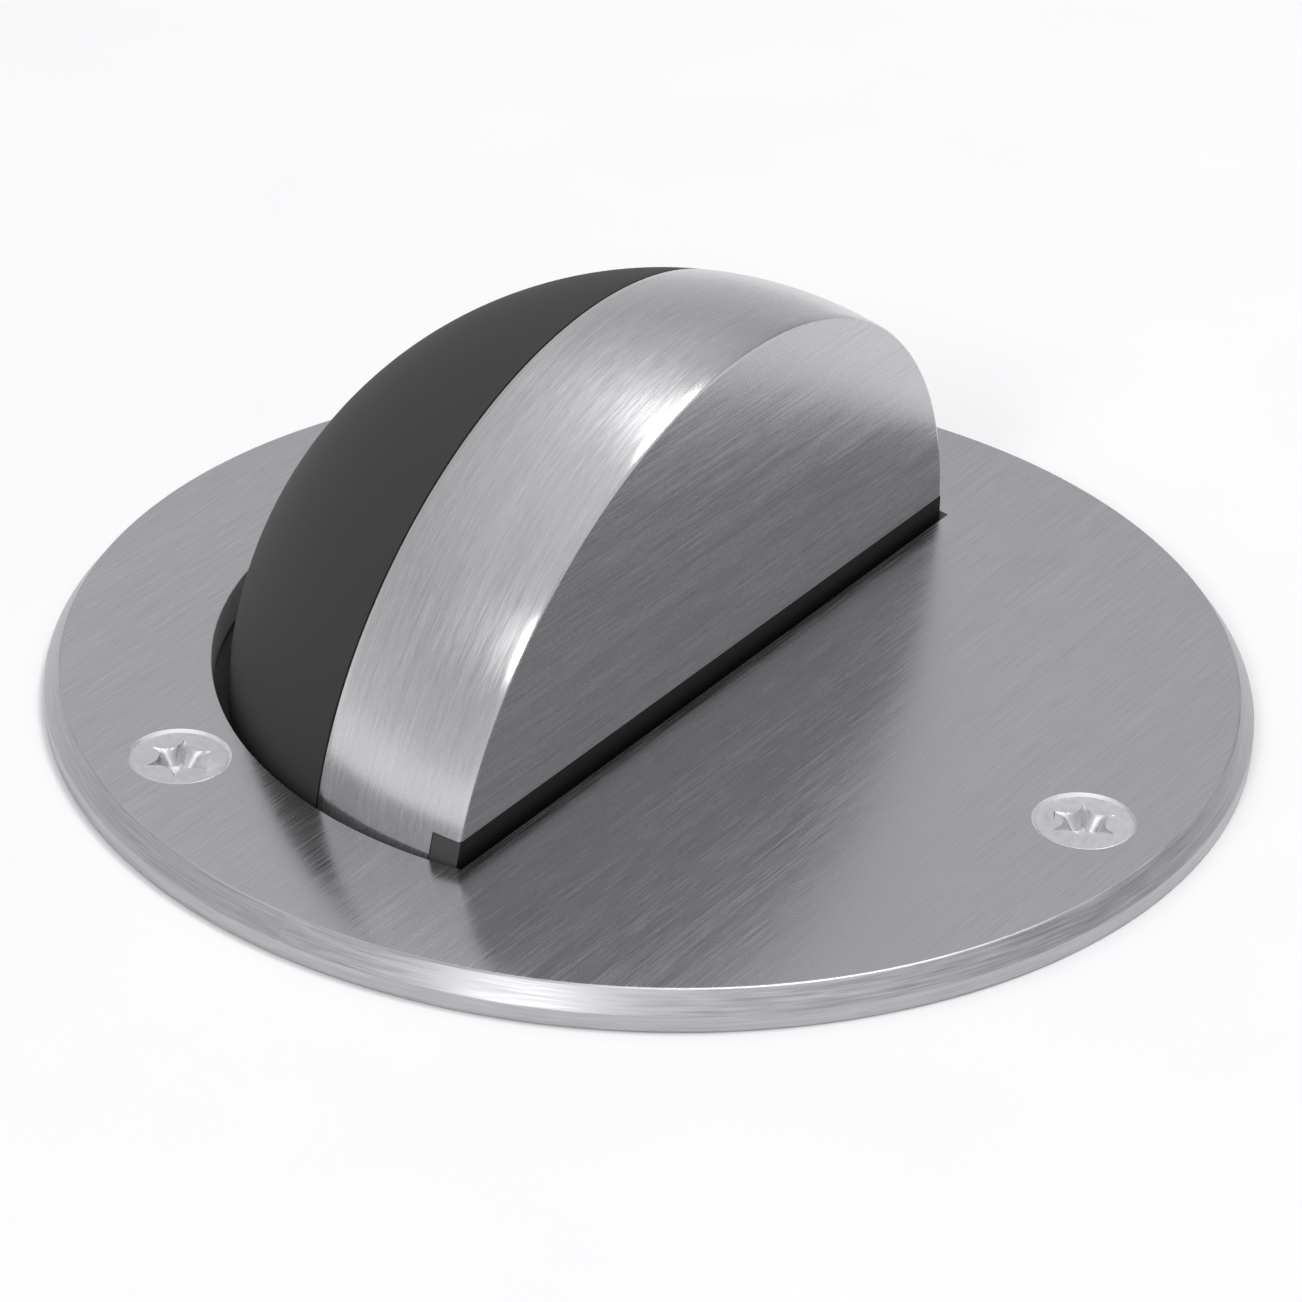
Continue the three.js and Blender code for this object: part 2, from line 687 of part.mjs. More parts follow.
addFolding("buffer_core", makeCore(), coreNylon);
addFolding("buffer_rubber", makeRubber(), buffRubber);
CORE_SCREWS.forEach(([x, y], i) => {
  addFolding("core_screw_" + (i + 1), makeCoreScrew(x, y), boltSteel);
});

export default model;
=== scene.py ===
import math
import bmesh
import bpy
from mathutils import Matrix, Vector


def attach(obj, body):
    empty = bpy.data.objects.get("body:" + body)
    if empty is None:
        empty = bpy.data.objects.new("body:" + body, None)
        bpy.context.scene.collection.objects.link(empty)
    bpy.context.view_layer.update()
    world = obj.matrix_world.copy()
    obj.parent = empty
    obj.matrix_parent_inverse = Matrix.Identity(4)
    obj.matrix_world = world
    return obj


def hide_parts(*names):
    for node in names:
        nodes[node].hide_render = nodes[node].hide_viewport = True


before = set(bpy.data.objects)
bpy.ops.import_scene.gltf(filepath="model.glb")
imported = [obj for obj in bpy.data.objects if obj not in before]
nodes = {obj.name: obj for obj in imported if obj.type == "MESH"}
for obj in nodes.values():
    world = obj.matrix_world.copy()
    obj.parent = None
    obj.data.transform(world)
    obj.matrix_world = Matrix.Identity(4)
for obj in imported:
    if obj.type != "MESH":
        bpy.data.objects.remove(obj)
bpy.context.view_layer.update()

# ---------------------------------------------------------------------------------------------
# Cover plate. A laser-cut disc of 3.5 mm stainless sheet with a turned bevel, a milled D-shaped
# opening whose straight edge is undercut, and three countersinks. The top is belt-ground along
# the opening's straight edge. Three countersunk screws hold it to the floor.

PLATE_R = 55.0
PLATE_T = 3.5
BEVEL_WIDTH = 1.4
BEVEL_HEIGHT = 1.9
RIM_EDGE_R = 0.35
FOOT_EDGE_SHARE = 0.6
OPENING_R = 39.9
OPENING_EDGE_Y = -7.5
UNDERCUT_Y = -9.3
UNDERCUT_LAND = 0.5
OPENING_EASE = 0.06
SCREW_CIRCLE_R = 45.8
FIRST_SCREW_ANGLE = -90.0
SCREW_COUNT = 3
COUNTERSINK_R = 4.6
SCREW_HOLE_R = 2.6
HINGE_Y = -1.0
HINGE_Z = -1.8
POCKET_X = (41.5, 48.1)
POCKET_HALF_Y = 8.3
POCKET_TOP = 1.1
JOURNAL_GROOVE_R = 2.3
JOURNAL_GROOVE_X = (37.9, 41.8)
CAP_HOLE_R = 1.6
CAP_HOLE_TOP = 2.95
BLOCK_SCREW_X = 44.8
BLOCK_SCREW_Y = 5.2
SPRING_SCREWS = [(-9.0, -19.0), (9.0, -19.0)]
CAP_PLACES = [
    (BLOCK_SCREW_X * side, HINGE_Y + BLOCK_SCREW_Y * way) for side in (-1, 1) for way in (-1, 1)
] + SPRING_SCREWS
FLAT_FROM = 0.99
RIM_FROM_R = 53.1
OVERCUT = 1.0
FINE = 192
SMALL = 48

to_metres = Matrix.Scale(0.001, 4)


def made_object(name, shape):
    """Turns a bmesh drawn in millimetres into an object."""
    mesh = bpy.data.meshes.new(name)
    shape.to_mesh(mesh)
    shape.free()
    made = bpy.data.objects.new(name, mesh)
    bpy.context.scene.collection.objects.link(made)
    return made


def turned(name, profile, steps, ring=False):
    """A closed solid of (radius, height) points spun about Z; a ring's profile is closed."""
    shape = bmesh.new()
    line = [shape.verts.new((radius, 0.0, height)) for radius, height in profile]
    pairs = list(zip(line, line[1:]))
    if ring:
        pairs.append((line[-1], line[0]))
    edges = [shape.edges.new(pair) for pair in pairs]
    bmesh.ops.spin(
        shape,
        geom=line + edges,
        axis=(0, 0, 1),
        cent=(0, 0, 0),
        angle=2 * math.pi,
        steps=steps,
    )
    bmesh.ops.remove_doubles(shape, verts=shape.verts, dist=0.0005)
    bmesh.ops.recalc_face_normals(shape, faces=shape.faces)
    return made_object(name, shape)


def rod(radius, start, end):
    """The line that spins into a plain round rod."""
    return [(0.0, start), (radius, start), (radius, end), (0.0, end)]


def lofted(name, sections):
    """A closed solid through outlines of the same number of points, capped at both ends."""
    shape = bmesh.new()
    rings = [[shape.verts.new(point) for point in section] for section in sections]
    shape.faces.new(rings[0])
    shape.faces.new(rings[-1])
    for lower, upper in zip(rings, rings[1:]):
        for i in range(len(lower)):
            k = (i + 1) % len(lower)
            shape.faces.new((lower[i], lower[k], upper[k], upper[i]))
    bmesh.ops.recalc_face_normals(shape, faces=shape.faces)
    return made_object(name, shape)


def drawn_out(name, outline, start, end, along):
    """A closed flat outline pushed from start to end; along turns (u, v, w) to x, y, z."""
    return lofted(name, [[along(u, v, w) for u, v in outline] for w in (start, end)])


def along_x(u, v, w):
    return (w, u, v)


def along_z(u, v, w):
    return (u, v, w)


def brick(name, low, high):
    outline = [(low[0], low[1]), (high[0], low[1]), (high[0], high[1]), (low[0], high[1])]
    return drawn_out(name, outline, low[2], high[2], along_z)


def about_x(made, side, y, z):
    """Lays a spun solid along +X or -X on the line through y, z."""
    turn = Matrix.Rotation(side * math.pi / 2, 4, "Y")
    made.data.transform(Matrix.Translation((0, y, z)) @ turn)
    return made


def moved(made, x, y):
    made.data.transform(Matrix.Translation((x, y, 0)))
    return made


def baked(made):
    """Applies the object's modifiers, and keeps the result as its mesh."""
    bpy.context.view_layer.update()
    graph = bpy.context.evaluated_depsgraph_get()
    mesh = bpy.data.meshes.new_from_object(made.evaluated_get(graph))
    made.modifiers.clear()
    made.data = mesh
    return made


def cut(made, cutters, operation="DIFFERENCE"):
    for cutter in cutters:
        step = made.modifiers.new("cut", "BOOLEAN")
        step.operation = operation
        step.solver = "EXACT"
        step.object = cutter
    baked(made)
    for cutter in cutters:
        bpy.data.objects.remove(cutter)
    return made


def shaded(made, limit=35.0, flat_area=6.0):
    """Shades round faces smooth up to an angle in degrees, and flats of this area in mm2 flat."""
    shape = bmesh.new()
    shape.from_mesh(made.data)
    bmesh.ops.dissolve_limit(
        shape, angle_limit=math.radians(0.1), verts=shape.verts, edges=shape.edges
    )
    bmesh.ops.triangulate(shape, faces=[f for f in shape.faces if len(f.verts) > 4])
    shape.to_mesh(made.data)
    shape.free()
    mesh = made.data
    mesh.shade_smooth()
    mesh.set_sharp_from_angle(angle=math.radians(limit))
    normals = [tuple(corner.vector) for corner in mesh.corner_normals]
    flats = {}
    for face in mesh.polygons:
        way = tuple(round(part, 3) for part in face.normal)
        flats.setdefault((way, round(face.center.dot(face.normal), 2)), []).append(face)
    for faces in flats.values():
        if sum(face.area for face in faces) > flat_area:
            for face in faces:
                for corner in face.loop_indices:
                    normals[corner] = tuple(face.normal)
    mesh.normals_split_custom_set(normals)
    return made


def rounded(points, radius, steps=4):
    """A line with rounded corners; a point's third number, if any, is its share of radius."""
    line = []
    for i, point in enumerate(points):
        here = Vector(point[:2])
        own = point[2] if len(point) > 2 else 0.0
        if not own or i in (0, len(points) - 1):
            line.append(tuple(here))
            continue
        before = (Vector(points[i - 1][:2]) - here).normalized()
        after = (Vector(points[i + 1][:2]) - here).normalized()
        half = before.angle(after) / 2
        reach = own * radius / math.tan(half)
        centre = here + (before + after).normalized() * (own * radius / math.sin(half))
        start = here + before * reach - centre
        turn = start.angle_signed(here + after * reach - centre)
        for k in range(steps + 1):
            line.append(tuple(centre + Matrix.Rotation(-turn * k / steps, 2) @ start))
    return line


def linear(code):
    """An sRGB hex colour as linear red, green, blue and alpha."""
    parts = [int(code[i : i + 2], 16) / 255 for i in (1, 3, 5)]
    return tuple(
        p / 12.92 if p <= 0.04045 else ((p + 0.055) / 1.055) ** 2.4 for p in parts
    ) + (1.0,)


def add(tree, kind, inputs=None, **settings):
    """Adds a node with its settings; an input is a value, or a socket to link from."""
    made = tree.nodes.new(kind)
    for key, value in settings.items():
        setattr(made, key, value)
    for key, value in (inputs or {}).items():
        if isinstance(value, bpy.types.NodeSocket):
            tree.links.new(value, made.inputs[key])
        else:
            made.inputs[key].default_value = value
    return made


def new_material(name):
    """An empty node material, its tree, its principled shader and its object coordinates."""
    made = bpy.data.materials.new(name)
    made.use_nodes = True
    tree = made.node_tree
    tree.nodes.clear()
    shader = add(tree, "ShaderNodeBsdfPrincipled")
    add(tree, "ShaderNodeOutputMaterial", {"Surface": shader.outputs["BSDF"]})
    place = add(tree, "ShaderNodeTexCoord").outputs["Object"]
    return made, tree, shader, place


def noise(tree, place, per_metre, detail, roughness=0.5):
    """Noise with this many grains to the metre along x, y and z."""
    scaled = add(tree, "ShaderNodeVectorMath", {0: place, 1: per_metre}, operation="MULTIPLY")
    inputs = {"Vector": scaled.outputs[0], "Scale": 1.0, "Detail": detail, "Roughness": roughness}
    return add(tree, "ShaderNodeTexNoise", inputs).outputs["Fac"]


def blended(tree, share, first, second):
    mixed = add(tree, "ShaderNodeMix", {"Factor": share, 2: first, 3: second}, data_type="FLOAT")
    return mixed.outputs[0]


def painted(tree, shader, grain, tones, rough=None, span=(0.0, 1.0)):
    """Leads a noise into the shader's colour and roughness, over this span of its values."""
    ends = {"Value": grain, "From Min": span[0], "From Max": span[1]}
    colours = {6: linear(tones[0]), 7: linear(tones[1])}
    colours["Factor"] = add(tree, "ShaderNodeMapRange", ends).outputs[0]
    tone = add(tree, "ShaderNodeMix", colours, data_type="RGBA")
    tree.links.new(tone.outputs[2], shader.inputs["Base Color"])
    if rough:
        ends.update({"To Min": rough[0], "To Max": rough[1]})
        gloss = add(tree, "ShaderNodeMapRange", ends)
        tree.links.new(gloss.outputs[0], shader.inputs["Roughness"])


def embossed(tree, shader, grain, depth_mm, strength):
    inputs = {"Strength": strength, "Distance": depth_mm / 1000, "Height": grain}
    relief = add(tree, "ShaderNodeBump", inputs)
    tree.links.new(relief.outputs[0], shader.inputs["Normal"])


def to_world(tree, way):
    """A direction of the object's own frame, turned with the piece in a pose."""
    return add(
        tree,
        "ShaderNodeVectorTransform",
        {0: way},
        vector_type="VECTOR",
        convert_from="OBJECT",
        convert_to="WORLD",
    ).outputs[0]


# Width in mm, share of the full length and detail of each layer of scratches.
SCRATCHES = ((0.12, 0.6, 1.0), (0.22, 1.0, 2.0), (2.4, 0.4, 1.0))
SCRATCH_ROUGHNESS = 0.6
BROAD_SHARE = 0.15
SCRATCH_SPAN = (0.36, 0.64)


def brushing(tree, place, shader, tones, rough, depth_mm, stretch):
    """Scratches of a grinding belt: place runs along the scratches in x, and stretch gives the
    length over the width. Tone, roughness and height all follow the same scratches."""
    layers = []
    for width, share, detail in SCRATCHES:
        across = 1000 / width
        counts = (across / stretch / share, across, across)
        layers.append(noise(tree, place, counts, detail, SCRATCH_ROUGHNESS))
    fine, middle, broad = layers
    half = blended(tree, 0.5, fine, middle)
    both = blended(tree, BROAD_SHARE, half, broad)
    painted(tree, shader, both, tones, rough, SCRATCH_SPAN)
    embossed(tree, shader, half, depth_mm, 1.0)


# Satin stainless, ground along X with a 180-grit belt: the eye sees fine parallel streaks and
# reflections that smear across them. Its real scratches, 0.03 to 0.1 mm wide, are drawn 0.12 mm
# and up so that they show.
belt_ground, tree, shader, place = new_material("stainless_belt_ground")
shader.inputs["Metallic"].default_value = 1.0
shader.inputs["Anisotropic"].default_value = 0.7
brushing(tree, place, shader, ("#c5c5c7", "#d1d1d3"), (0.15, 0.31), 0.0028, 60)
across_grain = add(tree, "ShaderNodeCombineXYZ", {"Y": 1.0}).outputs[0]
tree.links.new(to_world(tree, across_grain), shader.inputs["Tangent"])

# The rim is turned: its fine tool marks run round the plate, drawn 0.12 mm apart.
rim_turned, tree, shader, place = new_material("stainless_rim_turned")
shader.inputs["Metallic"].default_value = 1.0
shader.inputs["Anisotropic"].default_value = 0.35
parts = add(tree, "ShaderNodeSeparateXYZ", {0: place}).outputs
turn_angle = add(tree, "ShaderNodeMath", {0: parts["Y"], 1: parts["X"]}, operation="ARCTAN2")
way_round = add(
    tree, "ShaderNodeMath", {0: turn_angle.outputs[0], 1: PLATE_R / 1000}, operation="MULTIPLY"
)
flat_place = add(
    tree, "ShaderNodeVectorMath", {0: place, 1: (1.0, 1.0, 0.0)}, operation="MULTIPLY"
)
from_axis = add(tree, "ShaderNodeVectorMath", {0: flat_place.outputs[0]}, operation="LENGTH")
rim_place = add(
    tree,
    "ShaderNodeCombineXYZ",
    {"X": way_round.outputs[0], "Y": from_axis.outputs["Value"], "Z": parts["Z"]},
)
brushing(tree, rim_place.outputs[0], shader, ("#aeaeb0", "#cacacc"), (0.34, 0.54), 0.0016, 60)
tree.links.new(to_world(tree, place), shader.inputs["Tangent"])

# Milled walls: a satin grey that scatters what light gets into the gap, with level cutter marks.
# Its colour is raised above plain stainless as painted light, so the walls in the gap show
# bright.
milled, tree, shader, place = new_material("stainless_milled_wall")
shader.inputs["Metallic"].default_value = 1.0
mill_marks = noise(tree, place, (900.0, 900.0, 9000.0), 2.0)
painted(tree, shader, mill_marks, ("#dededf", "#f0f0f1"), (0.5, 0.7))
embossed(tree, shader, mill_marks, 0.01, 0.6)

plate_line = rounded(
    [
        (0.0, 0.0),
        (PLATE_R, 0.0, FOOT_EDGE_SHARE),
        (PLATE_R, PLATE_T - BEVEL_HEIGHT, 1.0),
        (PLATE_R - BEVEL_WIDTH, PLATE_T, 1.0),
        (0.0, PLATE_T),
    ],
    RIM_EDGE_R,
)
cover_plate = turned("cover_plate_steel", plate_line, FINE)


def opening_outline(grow):
    """The D-shaped opening, grown outwards by a width."""
    radius = OPENING_R + grow
    first = math.asin((OPENING_EDGE_Y - grow) / radius)
    sweep = math.pi - 2 * first
    turns = [first + sweep * i / FINE for i in range(FINE + 1)]
    return [(radius * math.cos(turn), radius * math.sin(turn)) for turn in turns]


mouth = [
    (0.0, -OVERCUT),
    (0.0, PLATE_T - OPENING_EASE),
    (OPENING_EASE, PLATE_T),
    (OPENING_EASE, PLATE_T + OVERCUT),
]
cutters = [
    lofted("opening", [[(x, y, z) for x, y in opening_outline(grow)] for grow, z in mouth])
]
undercut = [
    (OPENING_EDGE_Y, PLATE_T - UNDERCUT_LAND),
    (UNDERCUT_Y, 0.0),
    (UNDERCUT_Y, -OVERCUT),
    (OPENING_EDGE_Y + OVERCUT, -OVERCUT),
    (OPENING_EDGE_Y + OVERCUT, PLATE_T - UNDERCUT_LAND),
]
undercut_half = math.sqrt(OPENING_R**2 - UNDERCUT_Y**2)
cutters.append(drawn_out("undercut", undercut, -undercut_half, undercut_half, along_x))
countersink = [
    (0.0, -OVERCUT),
    (SCREW_HOLE_R, -OVERCUT),
    (SCREW_HOLE_R, PLATE_T - COUNTERSINK_R + SCREW_HOLE_R),
    (COUNTERSINK_R + OVERCUT, PLATE_T + OVERCUT),
    (0.0, PLATE_T + OVERCUT),
]
for i in range(SCREW_COUNT):
    turn = math.radians(FIRST_SCREW_ANGLE + 360 * i / SCREW_COUNT)
    sink = turned("countersink", countersink, SMALL)
    cutters.append(moved(sink, SCREW_CIRCLE_R * math.cos(turn), SCREW_CIRCLE_R * math.sin(turn)))
for side in (-1, 1):
    xs = sorted(side * x for x in POCKET_X)
    low = (xs[0], HINGE_Y - POCKET_HALF_Y, -OVERCUT)
    high = (xs[1], HINGE_Y + POCKET_HALF_Y, POCKET_TOP)
    cutters.append(brick("pocket", low, high))
    groove = rod(JOURNAL_GROOVE_R, *JOURNAL_GROOVE_X)
    cutters.append(about_x(turned("groove", groove, SMALL), side, HINGE_Y, HINGE_Z))
cap_hole = rod(CAP_HOLE_R, -OVERCUT, CAP_HOLE_TOP)
for x, y in CAP_PLACES:
    cutters.append(moved(turned("cap_hole", cap_hole, SMALL), x, y))
cut(cover_plate, cutters)
shaded(cover_plate)
cover_plate.data.materials.clear()
for steel in (belt_ground, rim_turned, milled):
    cover_plate.data.materials.append(steel)
for face in cover_plate.data.polygons:
    on_rim = math.hypot(face.center.x, face.center.y) > RIM_FROM_R
    if abs(face.normal.z) < FLAT_FROM:
        face.material_index = 1 if on_rim else 2
cover_plate.data.transform(to_metres)
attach(cover_plate, "floor_unit")
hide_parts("cover_plate")

# ---------------------------------------------------------------------------------------------
# Floor screws. Three cold-headed A2 stainless countersunk screws, 4.5 x 35 mm, with a six-lobe
# recess and a rolled wood thread. They go through the plate into nylon plugs.

HEAD_R = 4.35
HEAD_TOP = 3.3
HEAD_LIP = 0.25
NECK_R = 1.9
NECK_END = -3.0
THREAD_R = 2.2
THREAD_ROOT_R = 1.5
THREAD_PITCH = 1.8
THREAD_START = 3.6
THREAD_CLEARANCE = 0.6
SCREW_TIP = -31.5
TIP_R = 0.35
TIP_BLUNT = 0.2
POINT_LENGTH = 3.4
HEAD_EDGE_R = 0.12
STAR_R = 2.95
WEB_COUNT = 6
WEB_R = 1.52
WEB_AT_R = 3.3
STAR_POINTS = 120
STAR_TURN = 30.0
# Depth below the head's top and share of the full size, from the bottom up.
STAR_SECTIONS = [(1.4, 0.5), (0.4, 0.84), (0.14, 0.94), (0.0, 1.03), (-1.0, 1.03)]

# Cold-headed stainless, tumbled: pale, with a soft even gloss and tiny dents.
tumbled, tree, shader, place = new_material("stainless_tumbled")
shader.inputs["Metallic"].default_value = 1.0
dents = noise(tree, place, (1600.0, 1600.0, 1600.0), 3.0)
painted(tree, shader, dents, ("#cfcfd1", "#dfdfe0"), (0.36, 0.56))
embossed(tree, shader, dents, 0.01, 0.6)

thread_line = []
root_z = SCREW_TIP + THREAD_START
while root_z < NECK_END - THREAD_CLEARANCE:
    thread_line += [
        (THREAD_ROOT_R, root_z),
        (THREAD_R, root_z + THREAD_PITCH / 4),
        (THREAD_ROOT_R, root_z + THREAD_PITCH / 2),
    ]
    root_z += THREAD_PITCH
point = [
    (0.0, SCREW_TIP),
    (TIP_R, SCREW_TIP + TIP_BLUNT),
    (THREAD_ROOT_R, SCREW_TIP + POINT_LENGTH),
]
neck = [(NECK_R, NECK_END), (NECK_R, HEAD_TOP - HEAD_R + NECK_R - HEAD_LIP)]
head_edge = [(HEAD_R, HEAD_TOP - HEAD_LIP), (HEAD_R, HEAD_TOP, 1.0), (0.0, HEAD_TOP)]
screw_line = point + thread_line + neck + rounded(head_edge, HEAD_EDGE_R)
screw = turned("floor_screw", screw_line, SMALL)
star_turn = math.radians(STAR_TURN)
star = []
for depth, share in STAR_SECTIONS:
    ring = []
    for i in range(STAR_POINTS):
        angle = 2 * math.pi * i / STAR_POINTS
        off_web = angle % (2 * math.pi / WEB_COUNT) - math.pi / WEB_COUNT
        bulge = WEB_R**2 - (WEB_AT_R * math.sin(off_web)) ** 2
        near = WEB_AT_R * math.cos(off_web) - math.sqrt(bulge) if bulge > 0 else STAR_R
        reach = share * min(STAR_R, near)
        x, y = reach * math.cos(angle + star_turn), reach * math.sin(angle + star_turn)
        ring.append((x, y, HEAD_TOP - depth))
    star.append(ring)
cut(screw, [lofted("star", star)])
shaded(screw)


def on_circle(made, material, count, radius, first_angle):
    """Geometry Nodes that repeat a piece drawn at the middle, evenly on a circle about Z."""
    tree = bpy.data.node_groups.new(made.name + "_on_circle", "GeometryNodeTree")
    face = tree.interface
    face.new_socket("Piece", in_out="INPUT", socket_type="NodeSocketGeometry")
    sizes = {"Count": count, "Radius": radius, "First angle": math.radians(first_angle)}
    kinds = {"Count": "NodeSocketInt"}
    for key in sizes:
        face.new_socket(key, in_out="INPUT", socket_type=kinds.get(key, "NodeSocketFloat"))
    face.new_socket("Pieces", in_out="OUTPUT", socket_type="NodeSocketGeometry")
    given = add(tree, "NodeGroupInput").outputs
    points = add(tree, "GeometryNodePoints", {"Count": given["Count"]}).outputs[0]
    number = add(tree, "GeometryNodeInputIndex").outputs[0]
    share = add(tree, "ShaderNodeMath", {0: number, 1: given["Count"]}, operation="DIVIDE")
    part = add(
        tree, "ShaderNodeMath", {0: share.outputs[0], 1: 2 * math.pi}, operation="MULTIPLY"
    )
    angle = add(tree, "ShaderNodeMath", {0: part.outputs[0], 1: given["First angle"]}).outputs[0]
    cosine = add(tree, "ShaderNodeMath", {0: angle}, operation="COSINE").outputs[0]
    sine = add(tree, "ShaderNodeMath", {0: angle}, operation="SINE").outputs[0]
    way = add(tree, "ShaderNodeCombineXYZ", {"X": cosine, "Y": sine}).outputs[0]
    place = add(
        tree, "ShaderNodeVectorMath", {0: way, "Scale": given["Radius"]}, operation="SCALE"
    ).outputs[0]
    placed = add(tree, "GeometryNodeSetPosition", {"Geometry": points, "Position": place})
    copies = add(
        tree,
        "GeometryNodeInstanceOnPoints",
        {"Points": placed.outputs[0], "Instance": given["Piece"]},
    )
    real = add(tree, "GeometryNodeRealizeInstances", {0: copies.outputs[0]})
    coated = add(
        tree, "GeometryNodeSetMaterial", {"Geometry": real.outputs[0], "Material": material}
    )
    add(tree, "NodeGroupOutput", {0: coated.outputs[0]})
    step = made.modifiers.new("repeat", "NODES")
    step.node_group = tree
    for item in face.items_tree:
        if item.item_type == "SOCKET" and item.in_out == "INPUT" and item.name in sizes:
            step[item.identifier] = sizes[item.name]
    return baked(made)


floor_screws = on_circle(screw, tumbled, SCREW_COUNT, SCREW_CIRCLE_R, FIRST_SCREW_ANGLE)
floor_screws.name = "floor_screws"
floor_screws.data.transform(to_metres)
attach(floor_screws, "floor_unit")
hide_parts("floor_screw_front", "floor_screw_left", "floor_screw_right")

# ---------------------------------------------------------------------------------------------
# Floor plugs. Moulded nylon wall plugs, slit from the tip so that the screws spread them.

# Moulded nylon: a milky light grey with a soft, uneven gloss.
plug_nylon, tree, shader, place = new_material("nylon_moulded_grey")
haze = noise(tree, place, (700.0, 700.0, 700.0), 3.0)
painted(tree, shader, haze, ("#aeada7", "#c4c3bd"), (0.42, 0.62))
for place_name in ("front", "left", "right"):
    nodes["floor_plug_" + place_name].data.materials[0] = plug_nylon

# ---------------------------------------------------------------------------------------------
# Pot. Deep drawn from 1.2 mm stainless and laser-welded under the plate, with two notches for
# the pivot screws, two holes for the stop bar and a drain hole at the bottom.

POT_R = 40.3
POT_WALL = 1.2
POT_DEPTH = 44.0
POT_CORNER_R = 16.0
DRAIN_R = 4.0
BAR_Y = -4.5
BAR_Z = -10.2
BAR_HOLE_R = 1.8
WALL_X = (38.3, 42.5)
BOTTOM_STEPS = 12

# Drawn and pickled stainless: satin, with long draw marks down the wall. Its pale colour is
# raised above plain stainless as painted light, so the wall seen in the gap shows bright.
drawn_steel, tree, shader, place = new_material("stainless_deep_drawn")
shader.inputs["Metallic"].default_value = 1.0
draw_marks = noise(tree, place, (2600.0, 2600.0, 120.0), 2.0)
painted(tree, shader, draw_marks, ("#dadadc", "#ececee"), (0.45, 0.68))
embossed(tree, shader, draw_marks, 0.01, 0.6)


def quarter(centre_r, centre_z, radius, steps):
    """A quarter round from the wall down to the bottom."""
    turns = [-math.pi / 2 * i / steps for i in range(steps + 1)]
    return [(centre_r + radius * math.cos(t), centre_z + radius * math.sin(t)) for t in turns]


corner = (POT_R - POT_CORNER_R, POT_CORNER_R - POT_DEPTH)
inside = [(POT_R, 0.0)] + quarter(*corner, POT_CORNER_R, BOTTOM_STEPS)
inside += [(DRAIN_R, -POT_DEPTH)]
outside = [(DRAIN_R, -POT_DEPTH - POT_WALL)]
outside += quarter(*corner, POT_CORNER_R + POT_WALL, BOTTOM_STEPS)[::-1]
outside += [(POT_R + POT_WALL, 0.0)]
recess_pot = turned("recess_pot_steel", inside + outside, SMALL * 2, ring=True)
cutters = []
for side in (-1, 1):
    for radius, y, z in ((JOURNAL_GROOVE_R, HINGE_Y, HINGE_Z), (BAR_HOLE_R, BAR_Y, BAR_Z)):
        cutters.append(about_x(turned("hole", rod(radius, *WALL_X), SMALL), side, y, z))
    xs = sorted(side * x for x in WALL_X)
    low = (xs[0], HINGE_Y - JOURNAL_GROOVE_R, HINGE_Z)
    cutters.append(brick("notch", low, (xs[1], HINGE_Y + JOURNAL_GROOVE_R, OVERCUT)))
cut(recess_pot, cutters)
shaded(recess_pot)
recess_pot.data.materials.clear()
recess_pot.data.materials.append(drawn_steel)
recess_pot.data.transform(to_metres)
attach(recess_pot, "floor_unit")
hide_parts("recess_pot")

# ---------------------------------------------------------------------------------------------
# Bearing blocks. Two sawn and milled stainless blocks, each held in its pocket under the plate
# by two M3 cap screws. They carry the pivot screws, short hardened shafts with hex sockets.

for side_name in ("left", "right"):
    nodes["bearing_block_" + side_name].data.materials[0] = milled
    nodes["pivot_screw_" + side_name].data.materials[0] = tumbled
for number in (1, 2, 3, 4):
    nodes["block_screw_" + str(number)].data.materials[0] = tumbled

# ---------------------------------------------------------------------------------------------
# Stop bar. A ground stainless rod, sprung into two holes of the pot, with a rubber sleeve that
# the lip lands on softly when the stop stands up.

# Extruded EPDM, satin black, with faint die lines along X and little gloss; its colour is a
# painted shade, darker than the rubber's own, so the front stays near black where it faces the
# plate.
strip_rubber, tree, shader, place = new_material("rubber_extruded_black")
shader.inputs["Specular IOR Level"].default_value = 0.2
die_lines = noise(tree, place, (60.0, 4500.0, 4500.0), 2.0)
painted(tree, shader, die_lines, ("#131314", "#1e1e1f"), (0.55, 0.75))
embossed(tree, shader, die_lines, 0.02, 0.5)

nodes["stop_bar"].data.materials[0] = tumbled
nodes["stop_sleeve"].data.materials[0] = strip_rubber

# ---------------------------------------------------------------------------------------------
# Snap spring. A leaf bent from hardened 0.6 mm spring steel strip, clamped under the plate by a
# milled bar and two M3 cap screws. The lip pushes past its nose.

# Rolled and tempered strip: darker, bluish, with fine rolling lines across the leaf.
spring_strip, tree, shader, place = new_material("spring_steel_rolled")
shader.inputs["Metallic"].default_value = 1.0
roll_lines = noise(tree, place, (5200.0, 160.0, 160.0), 2.0)
painted(tree, shader, roll_lines, ("#85888e", "#9fa2a8"), (0.28, 0.42))
nodes["snap_spring"].data.materials[0] = spring_strip
nodes["spring_clamp"].data.materials[0] = milled
for number in (1, 2):
    nodes["spring_screw_" + str(number)].data.materials[0] = tumbled

# ---------------------------------------------------------------------------------------------
# Stop head. A thick slice milled from a stainless ball, with a lip along its lower edge, a
# rebate for the strip, seats for the two bushes and three tapped holes. The band is brushed
# round the face's own axis, and the flat face is belt-ground along X.

